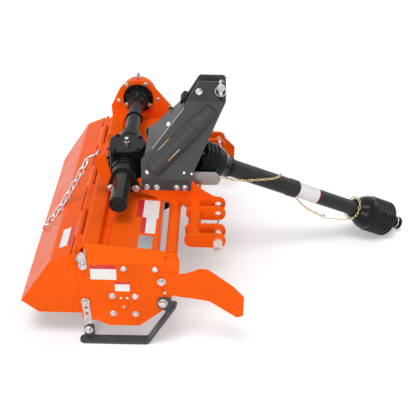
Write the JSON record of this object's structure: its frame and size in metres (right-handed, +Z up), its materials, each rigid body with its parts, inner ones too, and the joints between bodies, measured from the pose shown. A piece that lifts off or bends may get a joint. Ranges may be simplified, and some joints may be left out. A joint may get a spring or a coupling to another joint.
{
  "type": "rotary tiller",
  "caption": "Tractor-mounted rotary tiller with a steel hood, a hinged tailgate, curved tines on a driven rotor, a three-point hitch and a guarded drive shaft.",
  "frame": {"origin": "middle of the machine's bounding box, on the ground it stands on", "axes": "+X forward towards the tractor, +Y to the machine's left along the rotor, +Z up"},
  "size_m": [1.4448, 1.0885, 0.804],
  "materials": {
    "orange_paint": "glossy powder coat",
    "black_paint": "gloss black paint",
    "grey_paint": "satin dark grey powder coat",
    "light_grey_paint": "satin light grey paint",
    "zinc_plate": "bright zinc plating",
    "bare_steel": "machined and oiled steel",
    "guard_plastic": "moulded black plastic, slightly glossy",
    "yellow_zinc": "yellow zinc plated links"
  },
  "bodies": {
    "machine": {"side_plate_right": "orange_paint", "side_plate_left": "orange_paint", "gear_case": "orange_paint", "deck": "orange_paint", "toolbar": "orange_paint", "hinge_knuckles": "orange_paint", "deflector_right": "orange_paint", "deflector_left": "orange_paint", "bearing_cap": "orange_paint", "bracket_right": "orange_paint", "bracket_left": "orange_paint", "cross_plate": "orange_paint", "hitch_ears_right": "orange_paint", "hitch_ears_left": "orange_paint", "gearbox": "black_paint", "gearbox_lid": "black_paint", "cross_tube": "black_paint", "shaft_flange": "black_paint", "skid_right": "black_paint", "skid_left": "black_paint", "bearing_right": "black_paint", "gearbox_breather": "black_paint", "case_breather": "black_paint", "mast_plate_right": "grey_paint", "mast_plate_left": "grey_paint", "mast_cover": "grey_paint", "handbook_can": "grey_paint", "stub_tube": "grey_paint", "input_shield": "light_grey_paint", "skid_strap_right": "zinc_plate", "skid_strap_left": "zinc_plate", "hinge_link_right": "zinc_plate", "hinge_link_left": "zinc_plate", "hinge_rod": "zinc_plate", "hitch_pin_right": "zinc_plate", "hitch_pin_left": "zinc_plate", "tailgate_chain": "zinc_plate", "input_yoke": "bare_steel", "top_link_pin": "bare_steel"},
    "tailgate": {"tailgate": "orange_paint"},
    "rotor": {"rotor_shaft": "black_paint", "rotor_flanges": "black_paint", "tines_left_hand": "black_paint", "tines_right_hand": "black_paint"},
    "rear_cross": {"joint_cross_rear": "bare_steel"},
    "driveline_rear": {"inner_drive_shaft": "bare_steel", "rear_bell_guard": "guard_plastic", "rear_guard_tube": "guard_plastic", "rear_guard_chain": "yellow_zinc"},
    "driveline_front": {"outer_drive_shaft": "bare_steel", "front_guard_tube": "guard_plastic", "front_bell_guard": "guard_plastic", "front_guard_chain": "yellow_zinc"},
    "front_cross": {"joint_cross_front": "bare_steel"},
    "tractor_yoke": {"tractor_yoke": "bare_steel"}
  },
  "joints": [
    {"name": "rotor_spin", "type": "hinge", "parent": "machine", "child": "rotor", "pos_m": [-0.3595, -0.0028, 0.163], "axis": [0, 1, 0], "continuous": true},
    {"name": "tailgate_hinge", "type": "hinge", "parent": "machine", "child": "tailgate", "pos_m": [-0.5195, -0.0028, 0.371], "axis": [0, 1, 0], "range_deg": [0, 65], "deforming": ["tailgate_chain"]},
    {"name": "driveline_yaw", "type": "hinge", "parent": "machine", "child": "rear_cross", "pos_m": [-0.0935, -0.0338, 0.475], "axis": [0, 0, 1], "range_deg": [-37, 3]},
    {"name": "driveline_pitch", "type": "hinge", "parent": "rear_cross", "child": "driveline_rear", "pos_m": [-0.0935, -0.0338, 0.475], "axis": [-0.299, 0.9542, 0], "range_deg": [-45, 1]},
    {"name": "driveline_slide", "type": "slide", "parent": "driveline_rear", "child": "driveline_front", "axis": [0.8495, 0.2662, -0.4555], "range_m": [0, 0.15]},
    {"name": "front_joint_pitch", "type": "hinge", "parent": "driveline_front", "child": "front_cross", "pos_m": [0.61534, 0.18834, 0.09488], "axis": [-0.299, 0.9542, 0], "range_deg": [-20, 15]},
    {"name": "front_joint_yaw", "type": "hinge", "parent": "front_cross", "child": "tractor_yoke", "pos_m": [0.61534, 0.18834, 0.09488], "axis": [0.4347, 0.1362, 0.8902], "range_deg": [-18, 18]}
  ]
}
